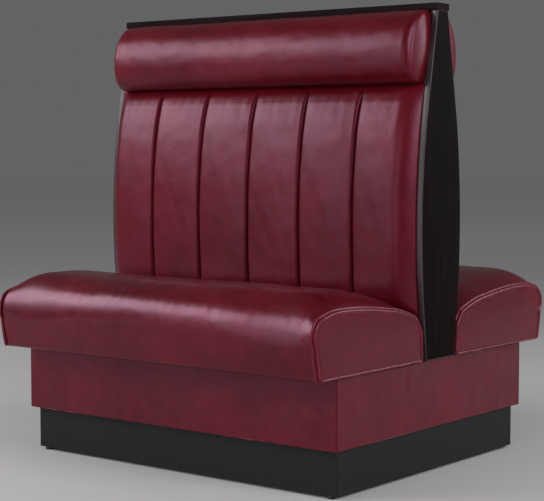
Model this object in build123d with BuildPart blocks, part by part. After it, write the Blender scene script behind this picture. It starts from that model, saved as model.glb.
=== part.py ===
from build123d import *
import os

os.makedirs("parts", exist_ok=True)

# The booth stands with X along its seats and Y from the front seat (-) to the rear seat (+).
# Z is up, and the origin is on the floor under the middle.  All sizes are in millimetres.

# Whole booth
overall_height = 1219
soft_gap = 0.3
running_gap = 0.2

# Plinth
plinth_lift = 8
plinth_height = 114
plinth_end_inset = 13
plinth_side_inset = 22
plinth_board_thickness = 18
plinth_edge_radius = 2
corner_block_size = 50
corner_block_height = 70
corner_block_bevel = 12

# Glides under the plinth
glide_end_inset = 25
pad_diameter = 17
pad_thickness = 6
pad_edge_radius = 1.2
stem_diameter = 6
stem_length = 38
collar_width = 10
insert_diameter = 9
insert_length = 30
thread_gap = 0.05

# Seat box
box_length = 1060
box_depth = 884
box_height = 178
box_board_thickness = 18
box_cover_thickness = 3
box_floor_thickness = 12
box_rib_thickness = 18
box_rib_spacing = 360
box_corner_radius = 2
grip_strip_length = 110
grip_strip_width = 14
grip_strip_thickness = 1.7
grip_strip_end_inset = 165

# End panels and cap
panel_overhang = 14
panel_thickness = 18
panel_gap = 3
panel_edge_radius = 3
panel_top_depth = 48
panel_upper_depth = 147
panel_widest_depth = 186
panel_lower_depth = 168
panel_foot_depth = 132
panel_upper_share = 0.687
panel_widest_share = 0.386
panel_lower_share = 0.167
cap_depth = 57.5
cap_thickness = 18
cap_edge_radius = 4

# Back frame
board_inset = 12
back_board_thickness = 5
back_rail_thickness = 18
back_rib_thickness = 18
screw_diameter = 5
screw_head_diameter = 9
screw_head_thickness = 2.5
screw_bite = 11
screw_gap = 0.1
cap_screw_count = 4
cap_screw_end_inset = 76
panel_screw_shares = (0.1, 0.45, 0.8)

# Channelled back pads
channel_count = 6
channel_crown = 13
pad_standoff = 32
pad_rise = 110
pad_end_standoff = 4
pad_end_round = 70
pad_seat_depth = 3

# Head rolls
roll_height = 187
roll_depth = 124
roll_end_radius = 22
batten_thickness = 20
batten_height = 110
batten_drop = 40
batten_end_inset = 15

# Seats
seat_end_overhang = 11
seat_lift = 2
seat_rear_gap = 13
seat_overhang = 84
seat_end_height = 163
seat_crown = 43
seat_bulge = 10
seat_round_length = 160
seat_skirt = 8
seat_rail_thickness = 22
seat_rail_height = 54
dust_cover_thickness = 0.8
spring_count = 5
spring_end_inset = 161
spring_wire = 3.5
spring_end_set = 17.5
spring_bar_length = 34
spring_bar_count = 23
clip_plate = 2
clip_width = 22
clip_depth = 16
insulator_thickness = 4

# Levels and lengths that follow
plinth_top = plinth_lift + plinth_height
plinth_length = box_length - 2 * plinth_end_inset
plinth_depth = box_depth - 2 * plinth_side_inset
box_top = plinth_top + box_height
grip_strip_spacing = box_length - grip_strip_length - 2 * grip_strip_end_inset
cap_bottom = overall_height - cap_thickness
panel_bottom = box_top + panel_gap
panel_height = cap_bottom - panel_bottom
panel_lower_level = panel_bottom + panel_lower_share * panel_height
panel_widest_level = panel_bottom + panel_widest_share * panel_height
panel_upper_level = panel_bottom + panel_upper_share * panel_height
back_length = box_length + 2 * panel_overhang
inner_length = back_length - 2 * panel_thickness
cap_screw_spacing = (inner_length - 2 * cap_screw_end_inset) / (cap_screw_count - 1)
bottom_rail_top = box_top + back_rail_thickness
top_rail_bottom = cap_bottom - back_rail_thickness
roll_bottom = cap_bottom - roll_height
soft_length = inner_length - 2 * soft_gap
seat_length = box_length + 2 * seat_end_overhang
seat_bottom = box_top + seat_lift
seat_rear = panel_foot_depth / 2 + seat_rear_gap
seat_front = box_depth / 2 + seat_overhang
seat_depth = seat_front - seat_rear
pad_bottom = seat_bottom + pad_rise
pad_top = roll_bottom - soft_gap
pad_height = pad_top - pad_bottom
spring_spacing = (seat_length - 2 * spring_end_inset) / (spring_count - 1)

faces = (("front", -1), ("rear", 1))
ends = (("left", -1), ("right", 1))


def circle_through(first, second, third):
    """Centre and radius of the circle through three points, each (across, up)."""
    (ax, ay), (bx, by), (cx, cy) = first, second, third
    spread = 2 * (ax * (by - cy) + bx * (cy - ay) + cx * (ay - by))
    a_square, b_square, c_square = ax**2 + ay**2, bx**2 + by**2, cx**2 + cy**2
    centre_x = (a_square * (by - cy) + b_square * (cy - ay) + c_square * (ay - by)) / spread
    centre_y = (a_square * (cx - bx) + b_square * (ax - cx) + c_square * (bx - ax)) / spread
    return centre_x, centre_y, ((ax - centre_x) ** 2 + (ay - centre_y) ** 2) ** 0.5


lower_point = (panel_lower_depth / 2, panel_lower_level)
widest_point = (panel_widest_depth / 2, panel_widest_level)
upper_point = (panel_upper_depth / 2, panel_upper_level)
belly_across, belly_up, belly_radius = circle_through(lower_point, widest_point, upper_point)


def panel_half(level):
    """Half the end panel's depth at a level: a straight foot, a round belly, a straight taper."""
    if level <= panel_lower_level:
        share = (level - panel_bottom) / (panel_lower_level - panel_bottom)
        return (panel_foot_depth + share * (panel_lower_depth - panel_foot_depth)) / 2
    if level >= panel_upper_level:
        share = (level - panel_upper_level) / (cap_bottom - panel_upper_level)
        return (panel_upper_depth + share * (panel_top_depth - panel_upper_depth)) / 2
    return belly_across + (belly_radius**2 - (level - belly_up) ** 2) ** 0.5


def back_curve(way, inset, low, high):
    """One side of the back's outline, set in from the end panel's edge; returns its two ends."""
    foot = (way * (panel_half(low) - inset), low)
    lower = (way * (panel_lower_depth / 2 - inset), panel_lower_level)
    widest = (way * (panel_widest_depth / 2 - inset), panel_widest_level)
    upper = (way * (panel_upper_depth / 2 - inset), panel_upper_level)
    head = (way * (panel_half(high) - inset), high)
    Line(foot, lower)
    ThreePointArc(lower, widest, upper)
    Line(upper, head)
    return foot, head


# Plinth: four boards butted at the corners, the long ones bored from below for the glides
glide_across = plinth_length / 2 - glide_end_inset
glide_along = (plinth_depth - plinth_board_thickness) / 2
insert_bore_depth = pad_thickness + stem_length - plinth_lift + running_gap

for face, way in faces:
    with BuildPart() as plinth_board:
        with BuildSketch(Plane.XY.offset(plinth_lift)):
            with Locations((0, way * glide_along)):
                Rectangle(plinth_length, plinth_board_thickness)
        extrude(amount=plinth_height)
        upright_edges = plinth_board.edges().filter_by(Axis.Z).sort_by(Axis.Y, reverse=way > 0)
        fillet(upright_edges[:2], plinth_edge_radius)
        with BuildSketch(Plane.XY.offset(plinth_lift)):
            with Locations((-glide_across, way * glide_along), (glide_across, way * glide_along)):
                Circle(insert_diameter / 2)
        extrude(amount=insert_bore_depth, mode=Mode.SUBTRACT)
    plinth_board.part.label = f"plinth_{face}_board"
    export_step(plinth_board.part, f"parts/plinth_{face}_board.step")

plinth_clear_depth = plinth_depth - 2 * plinth_board_thickness
for end, way in ends:
    with BuildPart() as plinth_end:
        with BuildSketch(Plane.XY.offset(plinth_lift)):
            with Locations((way * (plinth_length - plinth_board_thickness) / 2, 0)):
                Rectangle(plinth_board_thickness, plinth_clear_depth)
        extrude(amount=plinth_height)
    plinth_end.part.label = f"plinth_{end}_board"
    export_step(plinth_end.part, f"parts/plinth_{end}_board.step")

with BuildPart() as plinth_centre_rail:
    with BuildSketch(Plane.XY.offset(plinth_lift)):
        Rectangle(plinth_board_thickness, plinth_clear_depth)
    extrude(amount=plinth_height)
plinth_centre_rail.part.label = "plinth_centre_rail"
export_step(plinth_centre_rail.part, "parts/plinth_centre_rail.step")

block_across = plinth_length / 2 - plinth_board_thickness - corner_block_size / 2
block_along = plinth_depth / 2 - plinth_board_thickness - corner_block_size / 2
with BuildPart() as plinth_corner_blocks:
    with BuildSketch(Plane.XY.offset(plinth_top - corner_block_height)):
        with GridLocations(2 * block_across, 2 * block_along, 2, 2):
            Rectangle(corner_block_size, corner_block_size)
    extrude(amount=corner_block_height)
    block_uprights = plinth_corner_blocks.edges().filter_by(Axis.Z)
    chamfer(block_uprights.sort_by_distance((0, 0, plinth_top))[:4], corner_block_bevel)
plinth_corner_blocks.part.label = "plinth_corner_blocks"
export_step(plinth_corner_blocks.part, "parts/plinth_corner_blocks.step")

# Glides: a threaded insert in the board, a steel stem with its collar, and a plastic pad
glide_places = [(end, face, end_way * glide_across, face_way * glide_along)
                for end, end_way in ends for face, face_way in faces]

with BuildPart() as glide_inserts:
    with BuildSketch(Plane.XY.offset(plinth_lift)):
        with GridLocations(2 * glide_across, 2 * glide_along, 2, 2):
            Circle(insert_diameter / 2)
            Circle(stem_diameter / 2 + thread_gap, mode=Mode.SUBTRACT)
    extrude(amount=insert_length)
glide_inserts.part.label = "glide_inserts"
export_step(glide_inserts.part, "parts/glide_inserts.step")

for end, face, across, along in glide_places:
    with BuildPart() as glide_stem:
        with BuildSketch(Plane.XY.offset(pad_thickness)):
            with Locations((across, along)):
                Circle(stem_diameter / 2)
        extrude(amount=stem_length)
        with BuildSketch(Plane.XY.offset(pad_thickness)):
            with Locations((across, along)):
                RegularPolygon(collar_width / 2, 6, major_radius=False)
        extrude(amount=plinth_lift - pad_thickness - running_gap)
    glide_stem.part.label = f"glide_stem_{face}_{end}"
    export_step(glide_stem.part, f"parts/glide_stem_{face}_{end}.step")

    with BuildPart() as glide_pad:
        with BuildSketch(Plane.XY):
            with Locations((across, along)):
                Circle(pad_diameter / 2)
        extrude(amount=pad_thickness)
        fillet(glide_pad.edges().sort_by(Axis.Z)[0], pad_edge_radius)
    glide_pad.part.label = f"glide_pad_{face}_{end}"
    export_step(glide_pad.part, f"parts/glide_pad_{face}_{end}.step")

# Seat box: a floor, four boards and two ribs, and a padded vinyl cover on each side
box_board_length = box_length - 2 * box_cover_thickness
box_board_depth = box_depth - 2 * box_cover_thickness
box_clear_length = box_board_length - 2 * box_board_thickness
box_clear_depth = box_board_depth - 2 * box_board_thickness

with BuildPart() as box_floor:
    with BuildSketch(Plane.XY.offset(plinth_top)):
        Rectangle(box_clear_length, box_clear_depth)
    extrude(amount=box_floor_thickness)
box_floor.part.label = "box_floor"
export_step(box_floor.part, "parts/box_floor.step")

for face, way in faces:
    with BuildPart() as box_board:
        with BuildSketch(Plane.XY.offset(plinth_top)):
            with Locations((0, way * (box_board_depth - box_board_thickness) / 2)):
                Rectangle(box_board_length, box_board_thickness)
        extrude(amount=box_height)
    box_board.part.label = f"box_{face}_board"
    export_step(box_board.part, f"parts/box_{face}_board.step")

    with BuildPart() as box_cover:
        with BuildSketch(Plane.XY.offset(plinth_top)):
            with Locations((0, way * (box_depth - box_cover_thickness) / 2)):
                Rectangle(box_length, box_cover_thickness)
        extrude(amount=box_height)
        cover_uprights = box_cover.edges().filter_by(Axis.Z).sort_by(Axis.Y, reverse=way > 0)
        fillet(cover_uprights[:2], box_corner_radius)
    box_cover.part.label = f"box_{face}_cover"
    export_step(box_cover.part, f"parts/box_{face}_cover.step")

for end, way in ends:
    with BuildPart() as box_end:
        with BuildSketch(Plane.XY.offset(plinth_top)):
            with Locations((way * (box_board_length - box_board_thickness) / 2, 0)):
                Rectangle(box_board_thickness, box_clear_depth)
        extrude(amount=box_height)
    box_end.part.label = f"box_{end}_board"
    export_step(box_end.part, f"parts/box_{end}_board.step")

    with BuildPart() as box_end_cover:
        with BuildSketch(Plane.XY.offset(plinth_top)):
            with Locations((way * (box_length - box_cover_thickness) / 2, 0)):
                Rectangle(box_cover_thickness, box_board_depth)
        extrude(amount=box_height)
    box_end_cover.part.label = f"box_{end}_cover"
    export_step(box_end_cover.part, f"parts/box_{end}_cover.step")

    with BuildPart() as box_rib:
        with BuildSketch(Plane.XY.offset(plinth_top + box_floor_thickness)):
            with Locations((way * box_rib_spacing / 2, 0)):
                Rectangle(box_rib_thickness, box_clear_depth)
        extrude(amount=box_height - box_floor_thickness)
    box_rib.part.label = f"box_{end}_rib"
    export_step(box_rib.part, f"parts/box_{end}_rib.step")

# Grip strips on the long boards' top edges, which hold the seats where they are pushed
with BuildPart() as grip_strips:
    with BuildSketch(Plane.XY.offset(box_top)):
        with GridLocations(grip_strip_spacing, box_board_depth - box_board_thickness, 2, 2):
            Rectangle(grip_strip_length, grip_strip_width)
    extrude(amount=grip_strip_thickness)
grip_strips.part.label = "grip_strips"
export_step(grip_strips.part, "parts/grip_strips.step")

# Back frame: two rails, three shaped ribs and a bent board on each face
with BuildPart() as back_bottom_rail:
    with BuildSketch(Plane.XY.offset(box_top)):
        Rectangle(inner_length, 2 * (panel_half(bottom_rail_top) - board_inset))
    extrude(amount=back_rail_thickness)
back_bottom_rail.part.label = "back_bottom_rail"
export_step(back_bottom_rail.part, "parts/back_bottom_rail.step")

with BuildPart() as back_top_rail:
    with BuildSketch(Plane.XY.offset(top_rail_bottom)):
        Rectangle(inner_length, 2 * (panel_half(cap_bottom) - board_inset))
        with GridLocations(cap_screw_spacing, 0, cap_screw_count, 1):
            Circle(screw_diameter / 2 + screw_gap, mode=Mode.SUBTRACT)
    extrude(amount=back_rail_thickness)
back_top_rail.part.label = "back_top_rail"
export_step(back_top_rail.part, "parts/back_top_rail.step")

panel_screw_levels = [bottom_rail_top + share * (top_rail_bottom - bottom_rail_top)
                      for share in panel_screw_shares]
rib_inset = board_inset + back_board_thickness
rib_places = (("left", -(inner_length - back_rib_thickness) / 2), ("centre", 0),
              ("right", (inner_length - back_rib_thickness) / 2))
for place, middle in rib_places:
    with BuildPart() as back_rib:
        with BuildSketch(Plane.YZ.offset(middle - back_rib_thickness / 2)):
            with BuildLine():
                front_foot, front_head = back_curve(-1, rib_inset, bottom_rail_top, top_rail_bottom)
                rear_foot, rear_head = back_curve(1, rib_inset, bottom_rail_top, top_rail_bottom)
                Line(front_foot, rear_foot)
                Line(front_head, rear_head)
            make_face()
            if middle:
                with Locations(*[(0, level) for level in panel_screw_levels]):
                    Circle(screw_diameter / 2 + screw_gap, mode=Mode.SUBTRACT)
        extrude(amount=back_rib_thickness)
    back_rib.part.label = f"back_{place}_rib"
    export_step(back_rib.part, f"parts/back_{place}_rib.step")

for face, way in faces:
    with BuildPart() as back_board:
        with BuildSketch(Plane.YZ.offset(-inner_length / 2)):
            with BuildLine():
                outer_foot, outer_head = back_curve(way, board_inset, bottom_rail_top, top_rail_bottom)
                inner_foot, inner_head = back_curve(way, rib_inset, bottom_rail_top, top_rail_bottom)
                Line(outer_foot, inner_foot)
                Line(outer_head, inner_head)
            make_face()
        extrude(amount=inner_length)
    back_board.part.label = f"back_{face}_board"
    export_step(back_board.part, f"parts/back_{face}_board.step")

# The solid space that the pads and rolls are fitted against
with BuildPart() as back_core:
    with BuildSketch(Plane.YZ.offset(-inner_length / 2)):
        with BuildLine():
            front_foot, front_head = back_curve(-1, board_inset, box_top, cap_bottom)
            rear_foot, rear_head = back_curve(1, board_inset, box_top, cap_bottom)
            Line(front_foot, rear_foot)
            Line(front_head, rear_head)
        make_face()
    extrude(amount=inner_length)

# Channelled back pads: level slices of six round channels, closed in at the top and bottom
pad_slice_shares = ((0, -0.05, 0.3), (0.019, 0.34, 0.4), (0.038, 0.73, 0.6), (0.064, 0.92, 0.85),
                    (0.105, 1, 1), (0.2, 1, 1), (0.39, 1, 1), (0.65, 1, 1), (0.78, 0.94, 1),
                    (0.908, 0.77, 1), (0.978, 0.58, 0.85), (1, 0.48, 0.5))
end_round_mid_shares = (0.45, 0.7)
channel_flank_shares = (0.5, 0.78)
channel_pitch = soft_length / channel_count

for face, way in faces:
    with BuildPart() as channel_pad:
        for height_share, standoff_share, crown_share in pad_slice_shares:
            level = pad_bottom + height_share * pad_height
            edge = panel_half(level)
            seam = edge + standoff_share * pad_standoff
            crest = seam + crown_share * channel_crown
            end_face = edge + min(standoff_share, 1) * pad_end_standoff
            seat = edge - board_inset - pad_seat_depth
            with BuildSketch(Plane.XY.offset(level)):
                with BuildLine():
                    for side in (-1, 1):
                        corner = side * soft_length / 2
                        crest_across = corner - side * pad_end_round
                        last_seam = corner - side * channel_pitch
                        round_across = corner - side * end_round_mid_shares[0] * pad_end_round
                        round_out = end_face + end_round_mid_shares[1] * (crest - end_face)
                        flank_across = crest_across + channel_flank_shares[0] * (last_seam - crest_across)
                        flank_out = seam + channel_flank_shares[1] * (crest - seam)
                        ThreePointArc((corner, way * end_face), (round_across, way * round_out),
                                      (crest_across, way * crest))
                        ThreePointArc((crest_across, way * crest), (flank_across, way * flank_out),
                                      (last_seam, way * seam))
                        Line((corner, way * end_face), (corner, way * seat))
                    for channel in range(1, channel_count - 1):
                        start = channel * channel_pitch - soft_length / 2
                        ThreePointArc((start, way * seam), (start + channel_pitch / 2, way * crest),
                                      (start + channel_pitch, way * seam))
                    Line((-soft_length / 2, way * seat), (soft_length / 2, way * seat))
                make_face()
        loft()
        add(back_core.part, mode=Mode.SUBTRACT)
    channel_pad.part.label = f"{face}_channel_pad"
    export_step(channel_pad.part, f"parts/{face}_channel_pad.step")

# Head rolls: a round-nosed section on a batten, with its ends rounded in plan
roll_point_shares = ((0.63, 0), (0.835, 0.075), (0.985, 0.29), (1, 0.44), (0.935, 0.66),
                     (0.745, 0.868), (0.385, 1))
batten_top = cap_bottom - batten_drop
batten_bottom = batten_top - batten_height
roll_top = cap_bottom - soft_gap

for face, way in faces:
    with BuildPart() as roll_batten:
        with BuildSketch(Plane.YZ.offset(batten_end_inset - inner_length / 2)):
            with BuildLine():
                foot = (way * (panel_half(batten_bottom) - board_inset), batten_bottom)
                head = (way * (panel_half(batten_top) - board_inset), batten_top)
                out_head = (head[0] + way * batten_thickness, batten_top)
                out_foot = (foot[0] + way * batten_thickness, batten_bottom)
                Polyline(foot, head, out_head, out_foot, close=True)
            make_face()
        extrude(amount=inner_length - 2 * batten_end_inset)
    roll_batten.part.label = f"{face}_roll_batten"
    export_step(roll_batten.part, f"parts/{face}_roll_batten.step")

    roll_points = [(way * out * roll_depth, roll_bottom + up * (roll_top - roll_bottom))
                   for out, up in roll_point_shares]
    roll_seat = (way * (panel_half(roll_bottom) - board_inset - pad_seat_depth), roll_bottom)
    roll_tuck = (way * (panel_half(cap_bottom) - board_inset - pad_seat_depth), roll_top)
    with BuildPart() as head_roll:
        with BuildSketch(Plane.YZ.offset(-soft_length / 2)):
            with BuildLine():
                for first in range(0, len(roll_points) - 1, 2):
                    ThreePointArc(*roll_points[first:first + 3])
                Polyline(roll_points[-1], roll_tuck, roll_seat, roll_points[0])
            make_face()
        extrude(amount=soft_length)
        with BuildSketch(Plane.XY.offset(roll_bottom)):
            with Locations((0, way * roll_depth / 2)):
                Rectangle(soft_length, roll_depth)
            plan_corners = vertices().group_by(Axis.Y)[-1 if way > 0 else 0]
            fillet(plan_corners, roll_end_radius)
        extrude(amount=roll_height, mode=Mode.INTERSECT)
        add(back_core.part, mode=Mode.SUBTRACT)
        add(roll_batten.part, mode=Mode.SUBTRACT)
    head_roll.part.label = f"{face}_head_roll"
    export_step(head_roll.part, f"parts/{face}_head_roll.step")

# End panels, screwed on from inside the end ribs
for end, way in ends:
    inner_face = way * inner_length / 2
    with BuildPart() as end_panel:
        with BuildSketch(Plane.YZ.offset(inner_face)):
            with BuildLine():
                front_foot, front_head = back_curve(-1, 0, panel_bottom, cap_bottom)
                rear_foot, rear_head = back_curve(1, 0, panel_bottom, cap_bottom)
                Line(front_foot, rear_foot)
                Line(front_head, rear_head)
            make_face()
        extrude(amount=way * panel_thickness)
        outer_rim = end_panel.faces().sort_by(Axis.X, reverse=way > 0)[0].edges()
        fillet(outer_rim.sort_by(Axis.Z)[:-1], panel_edge_radius)
        with BuildSketch(Plane.YZ.offset(inner_face)):
            with Locations(*[(0, level) for level in panel_screw_levels]):
                Circle(screw_diameter / 2 + screw_gap)
        extrude(amount=way * (screw_bite + running_gap), mode=Mode.SUBTRACT)
    end_panel.part.label = f"{end}_end_panel"
    export_step(end_panel.part, f"parts/{end}_end_panel.step")

with BuildPart() as end_panel_screws:
    for end, way in ends:
        head_plane = Plane.YZ.offset(way * (inner_length / 2 - back_rib_thickness))
        with BuildSketch(head_plane):
            with Locations(*[(0, level) for level in panel_screw_levels]):
                Circle(screw_diameter / 2)
        extrude(amount=way * (back_rib_thickness + screw_bite))
        with BuildSketch(head_plane):
            with Locations(*[(0, level) for level in panel_screw_levels]):
                Circle(screw_head_diameter / 2)
        extrude(amount=-way * screw_head_thickness)
end_panel_screws.part.label = "end_panel_screws"
export_step(end_panel_screws.part, "parts/end_panel_screws.step")

# Top cap, screwed up through the top rail
with BuildPart() as top_cap:
    with BuildSketch(Plane.XY.offset(cap_bottom)):
        Rectangle(back_length, cap_depth)
    extrude(amount=cap_thickness)
    fillet(top_cap.edges().group_by(Axis.Z)[-1], cap_edge_radius)
    with BuildSketch(Plane.XY.offset(cap_bottom)):
        with GridLocations(cap_screw_spacing, 0, cap_screw_count, 1):
            Circle(screw_diameter / 2 + screw_gap)
    extrude(amount=screw_bite + running_gap, mode=Mode.SUBTRACT)
top_cap.part.label = "top_cap"
export_step(top_cap.part, "parts/top_cap.step")

with BuildPart() as cap_screws:
    with BuildSketch(Plane.XY.offset(top_rail_bottom)):
        with GridLocations(cap_screw_spacing, 0, cap_screw_count, 1):
            Circle(screw_diameter / 2)
    extrude(amount=back_rail_thickness + screw_bite)
    with BuildSketch(Plane.XY.offset(top_rail_bottom)):
        with GridLocations(cap_screw_spacing, 0, cap_screw_count, 1):
            Circle(screw_head_diameter / 2)
    extrude(amount=-screw_head_thickness)
cap_screws.part.label = "cap_screws"
export_step(cap_screws.part, "parts/cap_screws.step")

# Seats: a frame of four rails, wave springs in clips, an insulator, and the cushion over all
frame_length = seat_length - 2 * seat_skirt
frame_depth = seat_depth - 2 * seat_skirt
frame_bottom = seat_bottom + dust_cover_thickness
frame_top = frame_bottom + seat_rail_height
spring_level = frame_top + clip_plate + spring_wire / 2 + running_gap
insulator_bottom = spring_level + spring_wire / 2 + clip_plate + 2 * running_gap
pocket_top = insulator_bottom + insulator_thickness + running_gap
seat_middle = (seat_front + seat_rear) / 2
spring_reach = frame_depth / 2 - spring_end_set
bar_pitch = 2 * spring_reach / (spring_bar_count - 1)
spring_turn_radius = bar_pitch / 2


def seat_section(way, across, round_share):
    """The cushion's section at a place along it, from a flat end (0) to its full crown (1)."""
    bulge = round_share * seat_bulge
    crown = round_share * seat_crown
    out_up_shares = ((1, 0, 0, 0), (1.032, 0.49, 0.6, 0), (1.026, 0.822, 1, 0.15),
                     (0.987, 0.914, 0.5, 0.55), (0.915, 0.966, 0, 0.85), (0.774, 0.997, 0, 1),
                     (0.595, 0.978, 0, 1), (0.371, 0.908, 0, 0.85), (0.159, 0.8, 0, 0.45),
                     (0.047, 0.687, 0, 0.1), (0.01, 0.49, 0, 0), (0, 0, 0, 0))
    points = [(way * (seat_rear + out * seat_depth + bulge_share * bulge),
               seat_bottom + up * seat_end_height + crown_share * crown)
              for out, up, bulge_share, crown_share in out_up_shares]
    with BuildSketch(Plane.YZ.offset(across)) as section:
        with BuildLine():
            for first in range(0, len(points) - 3, 2):
                ThreePointArc(*points[first:first + 3])
            Polyline(points[-2], points[-1], points[0])
        make_face()
    return section.sketch


round_shares = (0, 0.09, 0.26, 0.6, 1)
middle_shares = (-0.6, -0.2, 0.2, 0.6)

for face, way in faces:
    with BuildPart() as seat_frame:
        with BuildSketch(Plane.XY.offset(frame_bottom)):
            with Locations((0, way * seat_middle)):
                with GridLocations(0, frame_depth - seat_rail_thickness, 1, 2):
                    Rectangle(frame_length, seat_rail_thickness)
                with GridLocations(frame_length - seat_rail_thickness, 0, 2, 1):
                    Rectangle(seat_rail_thickness, frame_depth - 2 * seat_rail_thickness - 2 * running_gap)
        extrude(amount=seat_rail_height)
    seat_frame.part.label = f"{face}_seat_frame"
    export_step(seat_frame.part, f"parts/{face}_seat_frame.step")

    with BuildPart() as dust_cover:
        with BuildSketch(Plane.XY.offset(seat_bottom)):
            with Locations((0, way * seat_middle)):
                Rectangle(frame_length, frame_depth)
        extrude(amount=dust_cover_thickness)
    dust_cover.part.label = f"{face}_dust_cover"
    export_step(dust_cover.part, f"parts/{face}_dust_cover.step")

    with BuildPart() as spring_clips:
        for side in (-1, 1):
            clip_back = side * (spring_reach + clip_depth / 2)
            mouth = side * (spring_reach - clip_depth / 2)
            wall = clip_back - side * clip_plate
            floor = frame_top + clip_plate
            roof = spring_level + spring_wire / 2 + running_gap
            lid = roof + clip_plate
            for number in range(spring_count):
                across = (number - (spring_count - 1) / 2) * spring_spacing
                with BuildSketch(Plane.YZ.offset(across - clip_width / 2)):
                    with BuildLine():
                        Polyline(*[(way * seat_middle + out, up) for out, up in (
                            (mouth, frame_top), (clip_back, frame_top), (clip_back, lid), (mouth, lid),
                            (mouth, roof), (wall, roof), (wall, floor), (mouth, floor))], close=True)
                    make_face()
                extrude(amount=clip_width)
    spring_clips.part.label = f"{face}_spring_clips"
    export_step(spring_clips.part, f"parts/{face}_spring_clips.step")

    with BuildPart() as seat_springs:
        for number in range(spring_count):
            across = (number - (spring_count - 1) / 2) * spring_spacing
            with BuildLine(Plane.XY.offset(spring_level)) as wave:
                for bar in range(spring_bar_count):
                    along = way * seat_middle - spring_reach + bar * bar_pitch
                    turn = 1 if bar % 2 else -1
                    Line((across + turn * spring_bar_length / 2, along),
                         (across - turn * spring_bar_length / 2, along))
                    if bar < spring_bar_count - 1:
                        edge_across = across - turn * spring_bar_length / 2
                        ThreePointArc((edge_across, along),
                                      (edge_across - turn * spring_turn_radius, along + spring_turn_radius),
                                      (edge_across, along + bar_pitch))
            with BuildSketch(Plane(origin=wave.line @ 0, z_dir=wave.line % 0)):
                Circle(spring_wire / 2)
            sweep(path=wave.line)
    seat_springs.part.label = f"{face}_seat_springs"
    export_step(seat_springs.part, f"parts/{face}_seat_springs.step")

    with BuildPart() as insulator:
        with BuildSketch(Plane.XY.offset(insulator_bottom)):
            with Locations((0, way * seat_middle)):
                Rectangle(frame_length, frame_depth)
        extrude(amount=insulator_thickness)
    insulator.part.label = f"{face}_insulator"
    export_step(insulator.part, f"parts/{face}_insulator.step")

    straight_half = seat_length / 2 - seat_round_length
    left_sections = [seat_section(way, share * seat_round_length - seat_length / 2,
                                  (1 - (1 - share) ** 2) ** 0.5) for share in round_shares]
    middle_sections = [seat_section(way, share * straight_half, 1) for share in middle_shares]
    right_sections = [seat_section(way, seat_length / 2 - share * seat_round_length,
                                   (1 - (1 - share) ** 2) ** 0.5) for share in reversed(round_shares)]
    with BuildPart() as seat_cushion:
        loft(left_sections + middle_sections + right_sections)
        with BuildSketch(Plane.XY.offset(seat_bottom)):
            with Locations((0, way * seat_middle)):
                Rectangle(frame_length + 2 * running_gap, frame_depth + 2 * running_gap)
        extrude(amount=pocket_top - seat_bottom, mode=Mode.SUBTRACT)
    seat_cushion.part.label = f"{face}_seat_cushion"
    export_step(seat_cushion.part, f"parts/{face}_seat_cushion.step")
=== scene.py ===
import logging
import math
from dataclasses import dataclass, field
from enum import Enum

import bmesh
import bpy
import numpy as np
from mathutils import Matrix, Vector


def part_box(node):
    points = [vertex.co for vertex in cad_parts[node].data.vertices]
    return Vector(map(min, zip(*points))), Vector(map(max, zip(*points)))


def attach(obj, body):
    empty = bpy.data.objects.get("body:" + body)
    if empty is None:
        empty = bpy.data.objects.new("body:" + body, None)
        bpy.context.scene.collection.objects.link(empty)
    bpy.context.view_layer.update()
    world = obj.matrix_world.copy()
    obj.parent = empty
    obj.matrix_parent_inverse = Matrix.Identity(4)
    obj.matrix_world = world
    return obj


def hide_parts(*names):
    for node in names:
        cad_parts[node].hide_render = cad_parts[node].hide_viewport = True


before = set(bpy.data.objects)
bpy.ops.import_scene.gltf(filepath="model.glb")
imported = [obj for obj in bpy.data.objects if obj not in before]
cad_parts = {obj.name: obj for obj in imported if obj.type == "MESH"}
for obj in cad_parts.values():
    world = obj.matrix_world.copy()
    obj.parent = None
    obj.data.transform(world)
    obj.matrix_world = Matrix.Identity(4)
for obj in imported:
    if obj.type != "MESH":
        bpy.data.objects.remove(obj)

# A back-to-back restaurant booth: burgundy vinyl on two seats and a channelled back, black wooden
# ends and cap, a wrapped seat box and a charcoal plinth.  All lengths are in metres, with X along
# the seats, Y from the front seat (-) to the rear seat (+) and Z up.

LOG = logging.getLogger("booth")
WELD = 1e-6
STRAIGHT = 1e-9
RIPPLE_WAVES = 14
END_SHRINK = 0.985
SHARPEST_REACH = 0.5
FACING_X = 0.9
BURGUNDY_DARK = (0.074, 0.0019, 0.0048)
BURGUNDY_PALE = (0.112, 0.0036, 0.0082)
Triple = tuple[float, float, float]
Pair = tuple[float, float]
Row = tuple[float, ...]
Layers = tuple[Pair, ...]
Array = np.ndarray
Sockets = dict[int | str, object]
Material = bpy.types.Material
Thing = bpy.types.Object


class Side(Enum):
    """A side of the booth: its word in the names of nodes, and the sign of the axis that it looks along."""

    def __init__(self, word: str, way: int) -> None:
        """Keeps the side's word and way."""
        self.word, self.way = word, way


class Face(Side):
    """The two seating faces, which look along Y."""

    FRONT = ("front", -1)
    REAR = ("rear", 1)


class End(Side):
    """The two ends, which look along X."""

    LEFT = ("left", -1)
    RIGHT = ("right", 1)


# Shader expressions


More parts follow.
